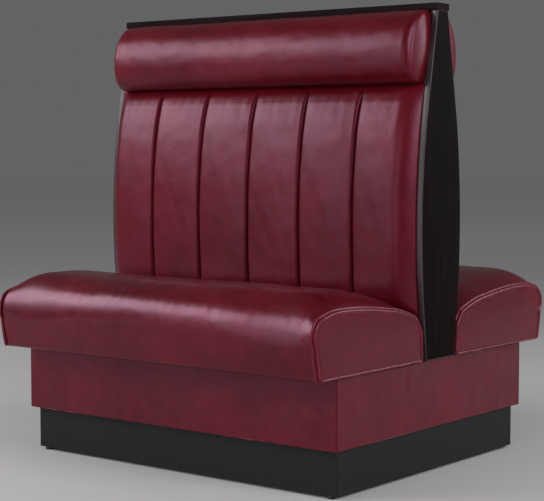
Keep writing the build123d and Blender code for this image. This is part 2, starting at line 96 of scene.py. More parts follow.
class Wire:
    """A node's output that takes part in Python sums and products, by one Math node for each."""

    def __init__(self, shop: "NodeShop", socket: bpy.types.NodeSocket | None) -> None:
        """Keeps the tree and the socket that the wire comes from."""
        self.shop, self.socket = shop, socket

    def __add__(self, other: "Wire | float") -> "Wire":
        """This plus the other."""
        return self.shop.node("ShaderNodeMath", {"operation": "ADD"}, {0: self, 1: other})

    __radd__ = __add__

    def __mul__(self, other: "Wire | float") -> "Wire":
        """This times the other."""
        return self.shop.node("ShaderNodeMath", {"operation": "MULTIPLY"}, {0: self, 1: other})

    __rmul__ = __mul__

    def between(self, low: float, high: float) -> "Wire":
        """A smooth rise from 0 at the low value to 1 at the high one."""
        return self.shop.node("ShaderNodeMapRange", {"interpolation_type": "SMOOTHSTEP"},
                              {0: self, 1: low, 2: high})


class NodeShop:
    """Builds one material: a method that adds any node, and short ones for what every finish uses."""

    def __init__(self, name: str) -> None:
        """Starts an empty material.

        Args:
            name: the material's name.
        """
        self.material = bpy.data.materials.new(name)
        self.material.use_nodes = True
        self.tree = self.material.node_tree
        self.tree.nodes.clear()
        self.place = self.node("ShaderNodeTexCoord", output="Object")

    def node(self, kind: str, settings: dict[str, object] | None = None,
             inputs: Sockets | None = None, output: int | str = 0) -> Wire:
        """Adds a node.

        Args:
            kind: the node's type.
            settings: its properties, which are set first.
            inputs: a value or a wire for each socket, by name or number.
            output: the output that the wire comes from.

        Returns:
            The output's wire.
        """
        node = self.tree.nodes.new(kind)
        for name, value in (settings or {}).items():
            setattr(node, name, value)
        for key, value in (inputs or {}).items():
            socket = node.inputs[key]
            if isinstance(value, Wire):
                self.tree.links.new(value.socket, socket)
            else:
                socket.default_value = (*value, 1.0) if socket.type == "RGBA" else value
        return Wire(self, node.outputs[output] if len(node.outputs) else None)

    def noise(self, scale: float, detail: float, rough: float, stretch: Triple | None = None) -> Wire:
        """Soft random clouds from 0 to 1.

        Args:
            scale: clouds in a metre.
            detail: how many finer layers are added.
            rough: how strong the finer layers are.
            stretch: a further scale along each axis, where the clouds are drawn out.

        Returns:
            The clouds' wire.
        """
        place = self.place
        if stretch is not None:
            place = self.node("ShaderNodeMapping", inputs={"Vector": place, "Scale": stretch})
        return self.node("ShaderNodeTexNoise", {"normalize": True},
                         {"Vector": place, "Scale": scale, "Detail": detail, "Roughness": rough})

    def cells(self, scale: float) -> Wire:
        """The distance to the nearest of many scattered points, as pebbles have it."""
        return self.node("ShaderNodeTexVoronoi", {"feature": "F1"}, {"Vector": self.place, "Scale": scale})

    def blend(self, share: Wire, first: Triple | Wire, second: Triple | Wire) -> Wire:
        """A colour between the first, where the share is 0, and the second, where it is 1."""
        return self.node("ShaderNodeMix", {"data_type": "RGBA"}, {0: share, 6: first, 7: second},
                         output=2)

    def bump(self, height: Wire, distance: float, strength: float, under: Wire | None = None) -> Wire:
        """Bends the shading by a height.

        Args:
            height: the relief from 0 to 1.
            distance: how tall a relief of 1 is.
            strength: the share of the effect that is kept.
            under: a normal that is bent already.

        Returns:
            The normal's wire.
        """
        inputs = {"Height": height, "Distance": distance, "Strength": strength}
        if under is not None:
            inputs["Normal"] = under
        return self.node("ShaderNodeBump", None, inputs)

    def surface(self, sockets: Sockets) -> Material:
        """Closes the material with a surface.

        Args:
            sockets: the value or the wire that each of its sockets takes.

        Returns:
            The finished material.
        """
        shader = self.node("ShaderNodeBsdfPrincipled", None, sockets)
        self.node("ShaderNodeOutputMaterial", None, {"Surface": shader})
        return self.material


# Finishes


@dataclass(frozen=True)
class Finish:
    """A surface's look: its name, the two colours that its pattern mixes, and its kind's own measures."""

    name: str
    dark: Triple
    pale: Triple

    def look(self, shop: NodeShop) -> Sockets:
        """Fills the surface's sockets, each kind in its own way.

        Args:
            shop: builds the material.

        Returns:
            The surface's sockets.
        """
        raise NotImplementedError

    def material(self) -> Material:
        """Builds the material."""
        shop = NodeShop(self.name)
        return shop.surface(self.look(shop))


@dataclass(frozen=True)
class Vinyl(Finish):
    """Coated upholstery cloth: a fine pebbled grain, soft creases and a slightly patchy gloss."""

    sheen: Triple = (1.0, 0.47, 0.76)
    gloss_low: float = 0.26
    gloss_high: float = 0.36
    shine: float = 0.44
    crease_depth: float = 0.0006
    dimple_depth: float = 0.00040
    pebble_depth: float = 0.00010

    def look(self, shop: NodeShop) -> Sockets:
        """Clouds tint it, and creases, dimples and pebbles bend its light.

        Args:
            shop: builds the material.

        Returns:
            The surface's sockets.
        """
        mottle = shop.noise(38.0, 3.0, 0.6)
        wear = (shop.noise(4.5, 4.0, 0.6) * 0.65 + mottle * 0.35).between(0.36, 0.64)
        creased = shop.bump(shop.noise(30.0, 2.0, 0.45), self.crease_depth, 0.8)
        dimpled = shop.bump(shop.noise(62.0, 1.5, 0.5), self.dimple_depth, 0.8, creased)
        return {"Base Color": shop.blend(wear, self.dark, self.pale),
                "Roughness": self.gloss_low + mottle * (self.gloss_high - self.gloss_low),
                "Normal": shop.bump(shop.cells(850.0), self.pebble_depth, 0.2, dimpled),
                "Specular IOR Level": self.shine, "Specular Tint": self.sheen,
                "Coat Weight": 0.05, "Coat Roughness": 0.22}


@dataclass(frozen=True)
class StainedWood(Finish):
    """Open-grained wood stained near black under a thin satin lacquer, its grain running up."""

    grain: Triple = (70.0, 70.0, 3.0)
    coat: float = 0.0

    def look(self, shop: NodeShop) -> Sockets:
        """Long streaks tint it, and fine pores bend its light.

        Args:
            shop: builds the material.

        Returns:
            The surface's sockets.
        """
        streaks = shop.noise(1.0, 4.0, 0.6, self.grain).between(0.35, 0.7)
        pores = shop.noise(6.0, 2.0, 0.5, self.grain).between(0.35, 0.6)
        return {"Base Color": shop.blend(streaks, self.dark, self.pale),
                "Roughness": 0.60 + 0.18 * shop.noise(9.0, 3.0, 0.6),
                "Normal": shop.bump(pores, 0.00020, 0.3),
                "Specular IOR Level": 0.045, "Coat Weight": self.coat, "Coat Roughness": 0.3}


@dataclass(frozen=True)
class Laminate(Finish):
    """A plastic laminate: a fine speckle with a satin face."""

    def look(self, shop: NodeShop) -> Sockets:
        """Speckle and scuffs tint it, and the scuffs vary its gloss.

        Args:
            shop: builds the material.

        Returns:
            The surface's sockets.
        """
        speckle = shop.noise(420.0, 2.0, 0.6)
        scuffs = shop.noise(14.0, 4.0, 0.65)
        share = speckle.between(0.3, 0.7) * 0.6 + scuffs * 0.4
        return {"Base Color": shop.blend(share, self.dark, self.pale), "Roughness": 0.38 + 0.18 * scuffs,
                "Normal": shop.bump(speckle, 0.00012, 0.4), "Specular IOR Level": 0.26}


@dataclass(frozen=True)
class Plywood(Finish):
    """Bare plywood: pale faces with darker figure along X."""

    def look(self, shop: NodeShop) -> Sockets:
        """Figure tints it, and fine fibres bend its light.

        Args:
            shop: builds the material.

        Returns:
            The surface's sockets.
        """
        figure = shop.noise(1.0, 4.0, 0.6, (2.5, 45.0, 45.0)).between(0.3, 0.7)
        fibres = shop.noise(1.0, 2.0, 0.5, (30.0, 600.0, 600.0))
        return {"Base Color": shop.blend(figure, self.pale, self.dark), "Roughness": 0.62 + 0.2 * fibres,
                "Normal": shop.bump(fibres, 0.0002, 0.5)}


@dataclass(frozen=True)
class Metal(Finish):
    """Plated or turned metal: a faint cloudy tint and fine brushed lines."""

    gloss: float

    def look(self, shop: NodeShop) -> Sockets:
        """Clouds tint it, and brushed lines vary its gloss.

        Args:
            shop: builds the material.

        Returns:
            The surface's sockets.
        """
        brushed = shop.noise(1.0, 2.0, 0.5, (900.0, 900.0, 60.0))
        return {"Base Color": shop.blend(shop.noise(90.0, 3.0, 0.6), self.pale, self.dark), "Metallic": 1.0,
                "Roughness": self.gloss + 0.15 * brushed, "Normal": shop.bump(brushed, 0.00003, 0.4)}


@dataclass(frozen=True)
class MouldedPlastic(Finish):
    """Moulded plastic with a fine spark-eroded texture."""

    def look(self, shop: NodeShop) -> Sockets:
        """Scuffs tint it, and fine pits bend its light.

        Args:
            shop: builds the material.

        Returns:
            The surface's sockets.
        """
        scuffs = shop.noise(180.0, 3.0, 0.6)
        return {"Base Color": shop.blend(scuffs, self.dark, self.pale), "Roughness": 0.42 + 0.2 * scuffs,
                "Normal": shop.bump(shop.cells(2500.0), 0.00005, 0.5)}


@dataclass(frozen=True)
class Cloth(Finish):
    """A matted or woven cloth: coarse threads over soft clouds."""

    threads: float

    def look(self, shop: NodeShop) -> Sockets:
        """Threads both ways tint it and bend its light.

        Args:
            shop: builds the material.

        Returns:
            The surface's sockets.
        """
        fine, slow = self.threads, self.threads / 9
        clouds = shop.noise(22.0, 3.0, 0.6)
        along = shop.noise(1.0, 1.0, 0.5, (fine, slow, fine))
        across = shop.noise(1.0, 1.0, 0.5, (slow, fine, fine))
        weave = along * 0.5 + across * 0.5
        return {"Base Color": shop.blend(weave * 0.7 + clouds * 0.3, self.dark, self.pale),
                "Roughness": 0.85 + 0.1 * clouds, "Normal": shop.bump(weave, 0.0004, 0.8)}


@dataclass(frozen=True)
class StudioFloor(Finish):
    """A plain matt floor with a barely visible unevenness, painted paler with distance from the booth:
    painted light that stands in for the light the distant floor lacks, so that it meets the sky without a
    dark horizon.
    """

    distant_painted_light: Triple

    def look(self, shop: NodeShop) -> Sockets:
        """Slow clouds tint it, and painted light pales it with its distance from the booth.

        Args:
            shop: builds the material.

        Returns:
            The surface's sockets.
        """
        clouds = shop.noise(0.9, 3.0, 0.5)
        distance = shop.node("ShaderNodeVectorMath", {"operation": "LENGTH"}, {0: shop.place}, "Value")
        near = shop.blend(clouds, self.pale, self.dark)
        # Painted light: the floor's colour is painted paler with distance from the booth.
        return {"Base Color": shop.blend(distance.between(2.5, 11.0), near, self.distant_painted_light),
                "Roughness": 0.75 + 0.1 * clouds, "Specular IOR Level": 0.25}


def built(finish: Finish) -> Material:
    """A dataclass field that holds a finish's material, built with the dataclass."""
    return field(default_factory=finish.material)


@dataclass
class Palette:
    """The material of every finish, built once."""

    vinyl: Material = built(Vinyl("burgundy_vinyl", BURGUNDY_DARK, BURGUNDY_PALE))
    back_vinyl: Material = built(Vinyl("burgundy_back_vinyl", BURGUNDY_DARK, BURGUNDY_PALE,
                                       gloss_low=0.29, gloss_high=0.43, shine=0.33))
    # The welt vinyl's colours are painted paler than the body vinyl's: a painted highlight for the light
    # that the thin welt ridges and hems catch.
    welt: Material = built(Vinyl("burgundy_welt_vinyl_painted_highlight", (0.115, 0.007, 0.014), (0.150, 0.013, 0.023),
                                 gloss_low=0.22, gloss_high=0.32, crease_depth=0.0001))
    wood: Material = built(StainedWood("black_stained_wood", (0.0026, 0.0014, 0.0014),
                                       (0.0058, 0.0034, 0.0034)))
    # The rim's stain is painted many times paler than the faces': a painted highlight for the light that
    # the panel's front edge catches.
    edge_highlight_wood: Material = built(StainedWood("black_wood_painted_edge_highlight", (0.030, 0.019, 0.022),
                                            (0.060, 0.043, 0.048), coat=0.6))
    cap_wood: Material = built(StainedWood("black_cap_wood", (0.0080, 0.0034, 0.0048),
                                           (0.0140, 0.0070, 0.0090), grain=(3.0, 70.0, 70.0)))
    laminate: Material = built(Laminate("charcoal_laminate", (0.0046, 0.0041, 0.0052),
                                        (0.0090, 0.0082, 0.0100)))
    plywood: Material = built(Plywood("birch_plywood", (0.33, 0.20, 0.10), (0.52, 0.36, 0.20)))
    zinc: Material = built(Metal("zinc_plate", (0.42, 0.43, 0.45), (0.62, 0.63, 0.65), 0.28))
    brass: Material = built(Metal("turned_brass", (0.50, 0.34, 0.15), (0.72, 0.52, 0.24), 0.25))
    plastic: Material = built(MouldedPlastic("black_moulded_plastic", (0.008, 0.008, 0.009),
                                             (0.018, 0.018, 0.019)))
    felt: Material = built(Cloth("grey_felt", (0.10, 0.10, 0.10), (0.26, 0.25, 0.24), 500.0))
    lining: Material = built(Cloth("black_lining", (0.006, 0.006, 0.007), (0.022, 0.022, 0.024), 1100.0))


# Numbers and curves


def unit(values: Array) -> Array:
    """Values held between 0 and 1."""
    return np.clip(values, 0, 1)


def join(*measures: Array | float) -> Array:
    """Places whose measures are the given arrays, spread to one shape."""
    return np.stack(np.broadcast_arrays(*measures), axis=-1)


def directions(vectors: Array) -> Array:
    """Vectors brought to a length of 1."""
    return vectors / np.maximum(np.linalg.norm(vectors, axis=-1, keepdims=True), 1e-12)


def crowded(count: int) -> Array:
    """Shares from 0 to 1 that crowd together at both ends, by half a cosine wave."""
    return 0.5 - 0.5 * np.cos(np.linspace(0, np.pi, count))


def shortfall(distance: Array, reach: float) -> Array:
    """How far a quarter circle is below its height of 1: by 1 at its edge, and by 0 from its reach on."""
    return 1 - np.sqrt(1 - unit(1 - distance / reach) ** 2)


def full_turn(count: int) -> Array:
    """Angles spread evenly over a full turn."""
    return np.linspace(0, 2 * np.pi, count + 1)[:-1]


def stations_between(start: float, stop: float, near: Array | Row, count: int) -> Array:
    """Rising places from start to stop: some near to each, and even ones between them.

    Args:
        start: the first end.
        stop: the last end.
        near: the rising distances of the near places from both ends.
        count: how many even places run between the furthest of those, both of them counted.

    Returns:
        The places.
    """
    near = np.asarray(near)
    middle = np.linspace(start + near[-1], stop - near[-1], count)
    return np.concatenate((start + near[:-1], middle, stop - near[:-1][::-1]))


def circle_through(first: Array, second: Array, third: Array) -> tuple[Array, ...]:
    """The circle through three points, where the perpendicular halving lines of two chords meet.

    Args:
        first: (..., 2) points, across and up.
        second: more points.
        third: the last points.

    Returns:
        The centre's across and up, and the radius.
    """
    (ax, ay), (bx, by), (cx, cy) = (np.moveaxis(np.asarray(p), -1, 0) for p in (first, second, third))
    spread = 2 * (ax * (by - cy) + bx * (cy - ay) + cx * (ay - by))
    spread = np.where(np.abs(spread) < STRAIGHT, STRAIGHT, spread)
    a_square, b_square, c_square = ax**2 + ay**2, bx**2 + by**2, cx**2 + cy**2
    across = (a_square * (by - cy) + b_square * (cy - ay) + c_square * (ay - by)) / spread
    up = (a_square * (cx - bx) + b_square * (ax - cx) + c_square * (bx - ax)) / spread
    return across, up, np.hypot(ax - across, ay - up)


def arcs_through(points: Array, steps: int) -> Array:
    """Runs arcs through points: one through points 0, 1 and 2, the next through 2, 3 and 4, and on.

    Each arc turns about the centre of its three points' circle, from the first point's angle to the
    third's through the second's, in equal steps.  It leaves its last point to the next arc, and the
    run ends at the last of all the points.

    Args:
        points: (..., count, 2) points.
        steps: the steps of each arc.

    Returns:
        (..., arcs * steps + 1, 2) points.
    """
    chosen = points[..., 0:-2:2, :], points[..., 1:-1:2, :], points[..., 2::2, :]
    across, up, radius = circle_through(*chosen)
    start, half, finish = (np.arctan2(point[..., 1] - up, point[..., 0] - across) for point in chosen)
    turn = (np.mod(half - start + np.pi, 2 * np.pi) - np.pi
            + np.mod(finish - half + np.pi, 2 * np.pi) - np.pi)
    angle = start[..., None] + turn[..., None] * (np.arange(steps) / steps)
    run = join(across[..., None] + radius[..., None] * np.cos(angle),
               up[..., None] + radius[..., None] * np.sin(angle))
    run = run.reshape(*run.shape[:-3], -1, 2)
    return np.concatenate((run, points[..., -1:, :]), axis=-2)


def smooth_curve(knots: Array, values: Array, places: Array) -> Array:
    """A cubic curve through values at knots, whose slope at each knot is its neighbours' mean slope.

    Args:
        knots: the rising places of the values.
        values: the values there.
        places: where the curve is read.

    Returns:
        The curve's value at each place.
    """
    slopes = np.gradient(values, knots)
    spot = np.clip(np.searchsorted(knots, places, side="right") - 1, 0, len(knots) - 2)
    gap = knots[spot + 1] - knots[spot]
    t = unit((places - knots[spot]) / gap)
    return ((1 + 2 * t) * (1 - t) ** 2 * values[spot] + t * (1 - t) ** 2 * gap * slopes[spot]
            + t**2 * (3 - 2 * t) * values[spot + 1] + t**2 * (t - 1) * gap * slopes[spot + 1])


def ripples(points: Array, wavelength: float, seed: int) -> Array:
    """A smooth random field of height about 1: the sum of plane waves in random directions.

    Args:
        points: (..., 3) places.
        wavelength: the waves' mean length.
        seed: the number that the directions and phases are drawn from.

    Returns:
        The field's value at each place.
    """
    draw = np.random.default_rng(seed)
    ways = draw.normal(size=(RIPPLE_WAVES, 3))
    ways *= (draw.uniform(0.7, 1.4, (RIPPLE_WAVES, 1)) * 2 * np.pi / wavelength
             / np.linalg.norm(ways, axis=1, keepdims=True))
    phases = draw.uniform(0, 2 * np.pi, RIPPLE_WAVES)
    return np.cos(points @ ways.T + phases).sum(axis=-1) / math.sqrt(RIPPLE_WAVES / 2)


def swells(points: Array, layers: Layers, seed: int, seed_step: int = 10) -> Array:
    """Ripples in layers, each of its own height and mean length, added up.

    Args:
        points: (..., 3) places.
        layers: the heights and lengths.
        seed: the first layer's seed.
        seed_step: what each further layer adds to it.

    Returns:
        The height at each place.
    """
    return sum(height * ripples(points, wavelength, seed + seed_step * number)
               for number, (height, wavelength) in enumerate(layers))


def puckers(places: Array, pitch: float, sway: float, sway_rate: float) -> Array:
    """Gathers of an uneven pitch, from -1 to 1: a cosine whose phase is swayed by a slow sine.

    Args:
        places: distances along the gathered edge.
        pitch: the gathers' mean pitch.
        sway: the sine's height, in radians.
        sway_rate: the sine's rate, in radians a metre.

    Returns:
        The height at each place.
    """
    return np.cos(places * 2 * np.pi / pitch + sway * np.sin(places * sway_rate))


def outward(ahead: Array, line: Array) -> Array:
    """Unit directions square to a flat line's own, most of them pointing away from its middle."""
    out = directions(ahead)[:, ::-1] * (-1, 1)
    return out * np.sign((out * (line - line.mean(axis=0))).sum())


def soften(ring: Array, rounds: int) -> Array:
    """Rounds a closed ring's corners: each point moves half way to its two neighbours' mean.

    Args:
        ring: (count, 2) points.
        rounds: how many times they move.

    Returns:
        The rounded ring.
    """
    for _ in range(rounds):
        ring = (np.roll(ring, 1, axis=0) + 2 * ring + np.roll(ring, -1, axis=0)) / 4
    return ring


# Grids and pieces


def outward_normals(grid: Array) -> Array:
    """Unit normals of a grid of closed rings: the cross product of the differences along the two
    parameters, turned so that most of them point away from the grid's middle.

    Args:
        grid: (rings, sides, 3) places.

    Returns:
        A normal for each place.
    """
    along = np.gradient(grid, axis=0)
    around = np.roll(grid, -1, axis=1) - np.roll(grid, 1, axis=1)
    normals = directions(np.cross(around, along))
    return normals * np.sign((normals * (grid - grid.mean(axis=(0, 1)))).sum())


def capped(body: Array, half: float, eye: Array, rings: int, crowding: float, dome: float,
           bend: float) -> Array:
    """Closes rings along X with an end face at each end.

    An end face is rings that shrink from the body's first ring nearly to a point, on a shallow dome
    whose height rises by a power of one less the square of a ring's size.

    Args:
        body: (rings, sides, 3) grid, alike at both ends.
        half: the end faces' distance from the middle.
        eye: the point that the rings shrink to, along Y and Z.
        rings: the rings of each end face.
        crowding: the power that crowds them towards the rim.
        dome: how far the end face's middle stands out.
        bend: the power of the dome's rise.

    Returns:
        The closed (rings, sides, 3) grid.
    """
    size = (1 - np.linspace(0, 1, rings + 1)[1:] ** crowding * END_SHRINK)[:, None]
    places = (body[0, :, 1:] - eye) * size[..., None] + eye
    left = join(-half - dome * (1 - size**2) ** bend, places[..., 0], places[..., 1])
    return np.concatenate((left[::-1], body, left * (-1, 1, 1)))


def carried(path: Array, profile: Array, out: Array) -> Array:
    """Carries a closed profile along a path.

    At each point of the path the profile's first measure lies along the outward direction, made
    square to the path, and its second along the cross product of the path's direction and that.

    Args:
        path: (rings, 3) places.
        profile: (rings, sides, 2) measures.
        out: (rings, 3) outward directions, or one of them.

    Returns:
        The (rings, sides, 3) grid.
    """
    ahead = directions(np.gradient(path, axis=0))
    out = directions(out - (out * ahead).sum(axis=1, keepdims=True) * ahead)
    aside = np.cross(ahead, out)
    return path[:, None] + profile[..., 0:1] * out[:, None] + profile[..., 1:2] * aside[:, None]


def round_off(rings: int, share: float, size: float) -> Array:
    """Scales (rings, 1) that round off a profile's ends, over a share of its path, down to a size."""
    place = np.linspace(0, 1, rings)[:, None]
    return 1 - (1 - size) * shortfall(np.minimum(place, 1 - place), share)


def make_piece(name: str, points: Array, faces: list[Array], sharp: float) -> Thing:
    """Makes a mesh object, with its faces turned outwards and shaded smooth below a sharp angle.

    Args:
        name: the piece's name.
        points: (count, 3) places.
        faces: arrays of point numbers, one array for each count of sides.
        sharp: edges that turn by more degrees than this are shaded sharp.

    Returns:
        The new object, at the origin.
    """
    mesh = bpy.data.meshes.new(name)
    mesh.from_pydata(points.tolist(), [], [face for group in faces for face in group.tolist()])
    work = bmesh.new()
    work.from_mesh(mesh)
    bmesh.ops.remove_doubles(work, verts=work.verts, dist=WELD)
    bmesh.ops.recalc_face_normals(work, faces=work.faces)
    work.to_mesh(mesh)
    work.free()
    mesh.polygons.foreach_set("use_smooth", np.ones(len(mesh.polygons), bool))
    mesh.set_sharp_from_angle(angle=math.radians(sharp))
    piece = bpy.data.objects.new(name, mesh)
    bpy.context.scene.collection.objects.link(piece)
    return piece


def tube_faces(rings: int, sides: int) -> list[Array]:
    """Faces of a closed shell: quads between closed rings, and one face over each end ring.

    Args:
        rings: the count of rings.
        sides: the points of each ring.

    Returns:
        The quads, and the two end faces.
    """
    ring = np.arange(rings - 1)[:, None] * sides
    side = np.arange(sides)[None, :]
    after = (side + 1) % sides
    quads = np.stack((ring + side, ring + after, ring + sides + after, ring + sides + side), axis=-1)
    ends = np.stack((np.arange(sides)[::-1], np.arange(sides) + (rings - 1) * sides))
    return [quads.reshape(-1, 4), ends]


def shell(name: str, grid: Array, sharp: float = 50.0) -> Thing:
    """A closed shell of a (rings, sides, 3) grid of closed rings."""
    rings, sides = grid.shape[:2]
    return make_piece(name, grid.reshape(-1, 3), tube_faces(rings, sides), sharp)


def dress(piece: Thing, material: Material, body: str, stands_for: str | None = None) -> None:
    """Gives a new piece its finish, its body and the CAD node that it stands for.

    Args:
        piece: the new piece.
        material: its finish.
        body: the body that it rides on.
        stands_for: the node that it replaces.
    """
    piece.data.materials.append(material)
    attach(piece, body)
    if stands_for is not None:
        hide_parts(stands_for)
    LOG.info("%s: %d faces on %s", piece.name, len(piece.data.polygons), body)


def repaint(material: Material, *nodes: str) -> None:
    """Gives carried-over nodes a better material in their own slots.

    Args:
        material: the better material.
        nodes: the nodes' names.
    """
    for node in nodes:
        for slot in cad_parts[node].material_slots:
            slot.material = material
        LOG.info("%s: repainted with %s", node, material.name)


# Back


@dataclass
class PanelOutline:
    """Half the end panel's depth at each level: a straight foot, a round belly, a straight taper."""

    foot: float = 0.066
    lower: float = 0.084
    widest: float = 0.093
    upper: float = 0.0735
    head: float = 0.024
    lower_share: float = 0.167
    widest_share: float = 0.386
    upper_share: float = 0.687

    def __post_init__(self) -> None:
        """Takes the panels' lowest and highest levels from the CAD."""
        low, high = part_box("left_end_panel")
        self.bottom, self.top = low.z, high.z

    def half(self, level: Array | float) -> Array:
        """Half the depth: straight lines below the lower and above the upper share of the height, and
        between them the circle through the lower, widest and upper points.

        Args:
            level: heights above the floor.

        Returns:
            The outline's distance from the middle plane at each level.
        """
        shares = (self.lower_share, self.widest_share, self.upper_share)
        low, middle, high = (self.bottom + share * (self.top - self.bottom) for share in shares)
        across, up, radius = circle_through((self.lower, low), (self.widest, middle), (self.upper, high))
        belly = across + np.sqrt(np.maximum(radius**2 - (level - up) ** 2, 0))
        foot = self.foot + (level - self.bottom) / (low - self.bottom) * (self.lower - self.foot)
        taper = self.upper + (level - high) / (self.top - high) * (self.head - self.upper)
        return np.where(level <= low, foot, np.where(level >= high, taper, belly))


@dataclass
class Back:
    """The shared back: a channelled pad and a head roll on each face, between the end panels.

    A row of pad_slice_shares is a share of the pad's height, then the shares of the standoff and of the
    crown there.  A row of roll_point_shares is shares of the roll's depth and height.
    """

    palette: Palette
    outline: PanelOutline = field(default_factory=PanelOutline)
    channels: int = 6
    crown: float = 0.0105
    bow: float = 0.30
    standoff: float = 0.032
    end_standoff: float = 0.004
    end_round: float = 0.052
    end_power: float = 2.2
    board_inset: float = 0.0118
    valley: float = 0.0108
    valley_width: float = 0.0037
    valley_power: float = 1.3
    fold: float = 0.0011
    fold_width: float = 0.0020
    fold_offset: float = 0.0068
    gather: float = 0.0008
    gather_length: float = 0.050
    gather_pitch: float = 0.031
    pad_swells: Layers = ((0.0004, 0.20), (0.00022, 0.055))
    pad_slice_shares: tuple[Triple, ...] = (
        (0, -0.05, 0.3), (0.019, 0.34, 0.4), (0.038, 0.73, 0.6), (0.064, 0.92, 0.85), (0.105, 1, 1),
        (0.2, 1, 1), (0.39, 1, 1), (0.65, 1, 1), (0.78, 0.94, 1), (0.895, 0.79, 1),
        (0.932, 0.69, 0.95), (0.967, 0.48, 0.68), (1, 0, 0))
    roll_point_shares: tuple[Pair, ...] = (
        (0.63, 0), (0.835, 0.075), (0.985, 0.29), (1, 0.44), (0.935, 0.66), (0.745, 0.868), (0.385, 1))
    roll_depth: float = 0.1235
    roll_end_radius: float = 0.023
    roll_first_ring: float = 0.0015
    roll_inset: float = 0.0075
    roll_dome: float = 0.0100
    roll_eye: float = 0.55
    roll_swells: Layers = ((0.00035, 0.16), (0.00020, 0.05))
    swell_fade: float = 0.03
    panel_ease: float = 0.0030
    panel_near: Triple = (0.0, 0.002, 0.012)

    def pad_grid(self, face: Face) -> Array:
        """The channelled pad as rings at rising levels: its front, and a straight back to the board.

        Args:
            face: the seating face.

        Returns:
            The (rings, sides, 3) grid.
        """
        low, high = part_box(f"{face.word}_channel_pad")
        share = np.unique(np.concatenate((crowded(60), np.linspace(0, 1, 70), np.linspace(0.9, 1, 16))))
        level = (low.z + share * (high.z - low.z))[:, None]
        pitch = (high.x - low.x) / self.channels
        starts = low.x + pitch * np.arange(self.channels)
        across = np.append((starts[:, None] + pitch * crowded(31)[:-1]).ravel(), high.x)
        front = self.pad_front(face, share, level, across, pitch)
        backing = self.outline.half(level) - self.board_inset
        inner = np.concatenate((across[-1:], across[::-1][1:-1:6], across[:1]))
        return np.concatenate((join(across, face.way * front, level),
                               join(inner, face.way * backing, level)), axis=1)

    def pad_front(self, face: Face, share: Array, level: Array, across: Array, pitch: float) -> Array:
        """How far the pad's front stands from the middle plane.

        It stands off the end panel's outline.  Each channel adds a crown with a slight bow, each seam
        takes away a narrow exponential valley with a round fold along one side, and the end channels
        fall to the panel by a power of the distance that is left.  Gathers fade down from the roll.

        Args:
            face: the seating face.
            share: (rings,) shares of the height.
            level: (rings, 1) levels.
            across: (places,) places along X.
            pitch: a channel's width.

        Returns:
            The (rings, places) distances.
        """
        knots, stands, crowns = np.array(self.pad_slice_shares).T
        stand = smooth_curve(knots, stands, share)[:, None]
        fullness = smooth_curve(knots, crowns, share)[:, None]
        edge = self.outline.half(level)
        place = (across - across[0]) / pitch
        middle = 2 * (place - np.floor(np.minimum(place, self.channels - 1e-9))) - 1
        outermost = (place < 0.5) | (place > self.channels - 0.5)
        crown = np.where(outermost, 1, 1 - self.bow * middle**2)
        from_seam = across[:, None] - (across[0] + pitch * np.arange(1, self.channels))
        valley = np.exp(-(np.abs(from_seam).min(axis=1) / self.valley_width) ** self.valley_power)
        folds = np.exp(-((from_seam - face.way * self.fold_offset) / self.fold_width) ** 2).max(axis=1)
        from_end = np.minimum(across - across[0], across[-1] - across)
        shoulder = 1 - (1 - unit(from_end / self.end_round)) ** self.end_power
        full = (edge + stand * self.standoff + fullness * self.crown * crown
                - unit(fullness) ** 2 * (self.valley * valley - self.fold * folds))
        tucked = edge + np.minimum(stand, 1) * self.end_standoff
        front = tucked + (full - tucked) * shoulder
        gather = self.gather * np.exp((level - level[-1]) / self.gather_length)
        pleats = puckers(across, self.gather_pitch, sway=2.2, sway_rate=9.0) * (1 - valley)
        swell = swells(join(across, front, level), self.pad_swells, 3 + face.way)
        return front + shoulder * (swell + gather * pleats)

    def roll_grid(self, face: Face) -> Array:
        """The head roll as rings along X.

        Each ring runs arcs through the roll's points and closes along the slanted back.  Near an end
        it shrinks towards the back in a quarter circle.

        Args:
            face: the seating face.

        Returns:
            The (rings, sides, 3) grid.
        """
        low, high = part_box(f"{face.word}_head_roll")
        height = high.z - low.z
        out, up = np.array(self.roll_point_shares).T
        arc = arcs_through(join(out * self.roll_depth, low.z + up * height), 22)
        low_back, top_back = self.outline.half(np.array((low.z, high.z))) - self.board_inset
        top = np.linspace(arc[-1], (top_back, high.z), 8)[1:]
        back = np.linspace((top_back, high.z), (low_back, low.z), 14)[1:]
        under = np.linspace((low_back, low.z), arc[0], 8)[1:-1]
        ring = soften(np.concatenate((arc, top, back, under)), 3)
        back_at = low_back + (ring[:, 1] - low.z) / height * (top_back - low_back)
        half = high.x - self.roll_inset
        near = np.geomspace(self.roll_first_ring, self.roll_end_radius * 2, 22)
        stations = stations_between(-half, half, near, 90)[:, None]
        short = shortfall(half - np.abs(stations), self.roll_end_radius)
        drawn = self.roll_end_radius * short / (self.roll_depth - low_back)
        body = join(stations, back_at + np.maximum(ring[:, 0] - back_at, 0) * (1 - drawn), ring[:, 1])
        eye = body[0, :, 1:].mean(axis=0) * (self.roll_eye, 1)
        grid = capped(body, half, eye, rings=12, crowding=1.3, dome=self.roll_dome, bend=1.0)
        lively = (unit((half - np.abs(grid[..., 0])) / self.swell_fade)
                  * unit((grid[..., 1] - back_at) / self.swell_fade))
        swell = swells(grid, self.roll_swells, 21 + face.way) * lively
        return (grid + swell[..., None] * outward_normals(grid)) * (1, face.way, 1)

    def end_panel(self, end: End) -> Thing:
        """An end panel: the outline run up the front and down the rear, closed as an eased board.

        Args:
            end: the booth's end.

        Returns:
            The new board.
        """
        low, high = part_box(f"{end.word}_end_panel")
        level = stations_between(low.z, high.z, self.panel_near, 90)
        half = self.outline.half(level)
        loop = np.concatenate((join(-half, level), join(half, level)[::-1]))
        return eased_board(f"{end.word}_panel_board", loop, low.x, high.x, self.panel_ease)

